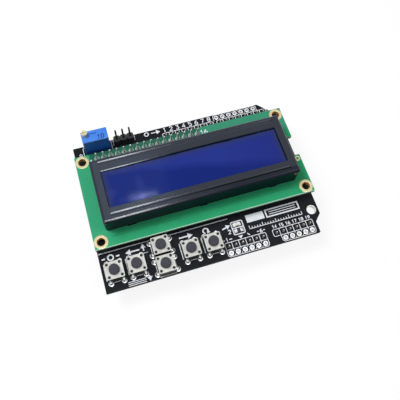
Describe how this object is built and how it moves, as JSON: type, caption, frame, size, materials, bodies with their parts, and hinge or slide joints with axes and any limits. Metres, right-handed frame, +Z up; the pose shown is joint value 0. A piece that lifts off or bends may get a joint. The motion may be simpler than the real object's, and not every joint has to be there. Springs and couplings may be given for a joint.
{
  "type": "lcd keypad shield",
  "caption": "Plug-in display board: a framed character display above a black circuit board with push buttons, a trimmer, a jumper header and rows of plug pins.",
  "frame": {"origin": "middle of the bounding box at the level of the plug pins' tips", "axes": "+X along the long side to the right, +Y to the edge with the trimmer, +Z up out of the display"},
  "size_m": [0.08, 0.0562, 0.0223],
  "materials": {
    "shield_laminate": "satin black solder mask",
    "lcd_laminate": "glossy green solder mask",
    "bezel_paint": "satin black paint",
    "display_blue": "glossy blue film",
    "display_glass": "clear",
    "light_guide": "milky",
    "led_board": "matte",
    "elastomer": "matte",
    "epoxy": "glossy",
    "header_plastic": "matte",
    "pin_metal": "tinned",
    "switch_plastic": "matte",
    "switch_steel": "satin",
    "button_plastic": "matte",
    "dome_steel": "polished",
    "leg_metal": "silver plated",
    "trimmer_plastic": "semi gloss",
    "trimmer_seal": "matte resin",
    "screw_brass": "turned",
    "rotor_plastic": "matte",
    "ceramic": "matte",
    "led_lens": "clear resin",
    "chip_body": "matte",
    "capacitor_body": "matte"
  },
  "bodies": {
    "module": {"shield_board": "shield_laminate", "lcd_board": "lcd_laminate", "lcd_bezel": "bezel_paint", "front_polariser": "display_blue", "front_glass": "display_glass", "rear_glass": "display_glass", "rear_polariser": "display_blue", "light_guide": "light_guide", "backlight_led_bar": "led_board", "elastomer_strip_front": "elastomer", "elastomer_strip_back": "elastomer", "driver_blobs": "epoxy", "lcd_header_strip": "header_plastic", "lcd_header_pins": "pin_metal", "select_switch_base": "switch_plastic", "left_switch_base": "switch_plastic", "up_switch_base": "switch_plastic", "down_switch_base": "switch_plastic", "right_switch_base": "switch_plastic", "reset_switch_base": "switch_plastic", "select_switch_cover": "switch_steel", "left_switch_cover": "switch_steel", "up_switch_cover": "switch_steel", "down_switch_cover": "switch_steel", "right_switch_cover": "switch_steel", "reset_switch_cover": "switch_steel", "switch_domes": "dome_steel", "switch_legs": "leg_metal", "trimmer_housing": "trimmer_plastic", "trimmer_base": "trimmer_seal", "trimmer_element": "ceramic", "trimmer_pins": "leg_metal", "jumper_header_strip": "header_plastic", "jumper_header_pins": "pin_metal", "power_header_strip": "header_plastic", "power_header_pins": "pin_metal", "analog_header_strip": "header_plastic", "analog_header_pins": "pin_metal", "low_header_strip": "header_plastic", "low_header_pins": "pin_metal", "high_header_strip": "header_plastic", "high_header_pins": "pin_metal", "power_led": "led_lens", "chip_resistors": "chip_body", "chip_capacitors": "capacitor_body", "backlight_transistor": "chip_body"},
    "select_key": {"select_button": "button_plastic"},
    "left_key": {"left_button": "button_plastic"},
    "up_key": {"up_button": "button_plastic"},
    "down_key": {"down_button": "button_plastic"},
    "right_key": {"right_button": "button_plastic"},
    "reset_key": {"reset_button": "button_plastic"},
    "adjuster": {"trimmer_screw": "screw_brass"},
    "wiper_wheel": {"trimmer_rotor": "rotor_plastic"}
  },
  "joints": [
    {"name": "select_press", "type": "slide", "parent": "module", "child": "select_key", "axis": [0, 0, -1], "range_m": [0, 0.00025], "stiffness_N_per_m": 5000},
    {"name": "left_press", "type": "slide", "parent": "module", "child": "left_key", "axis": [0, 0, -1], "range_m": [0, 0.00025], "stiffness_N_per_m": 5000},
    {"name": "up_press", "type": "slide", "parent": "module", "child": "up_key", "axis": [0, 0, -1], "range_m": [0, 0.00025], "stiffness_N_per_m": 5000},
    {"name": "down_press", "type": "slide", "parent": "module", "child": "down_key", "axis": [0, 0, -1], "range_m": [0, 0.00025], "stiffness_N_per_m": 5000},
    {"name": "right_press", "type": "slide", "parent": "module", "child": "right_key", "axis": [0, 0, -1], "range_m": [0, 0.00025], "stiffness_N_per_m": 5000},
    {"name": "reset_press", "type": "slide", "parent": "module", "child": "reset_key", "axis": [0, 0, -1], "range_m": [0, 0.00025], "stiffness_N_per_m": 5000},
    {"name": "trimmer_turn", "type": "hinge", "parent": "module", "child": "adjuster", "pos_m": [-0.034, 0.0267, 0.02057], "axis": [0, 0, 1], "continuous": true},
    {"name": "wiper_turn", "type": "hinge", "parent": "module", "child": "wiper_wheel", "pos_m": [-0.03045, 0.0267, 0.01545], "axis": [0, 1, 0], "continuous": true}
  ],
  "couplings": [
    {"joint": "wiper_turn", "follows": "trimmer_turn", "ratio": 0.04}
  ]
}
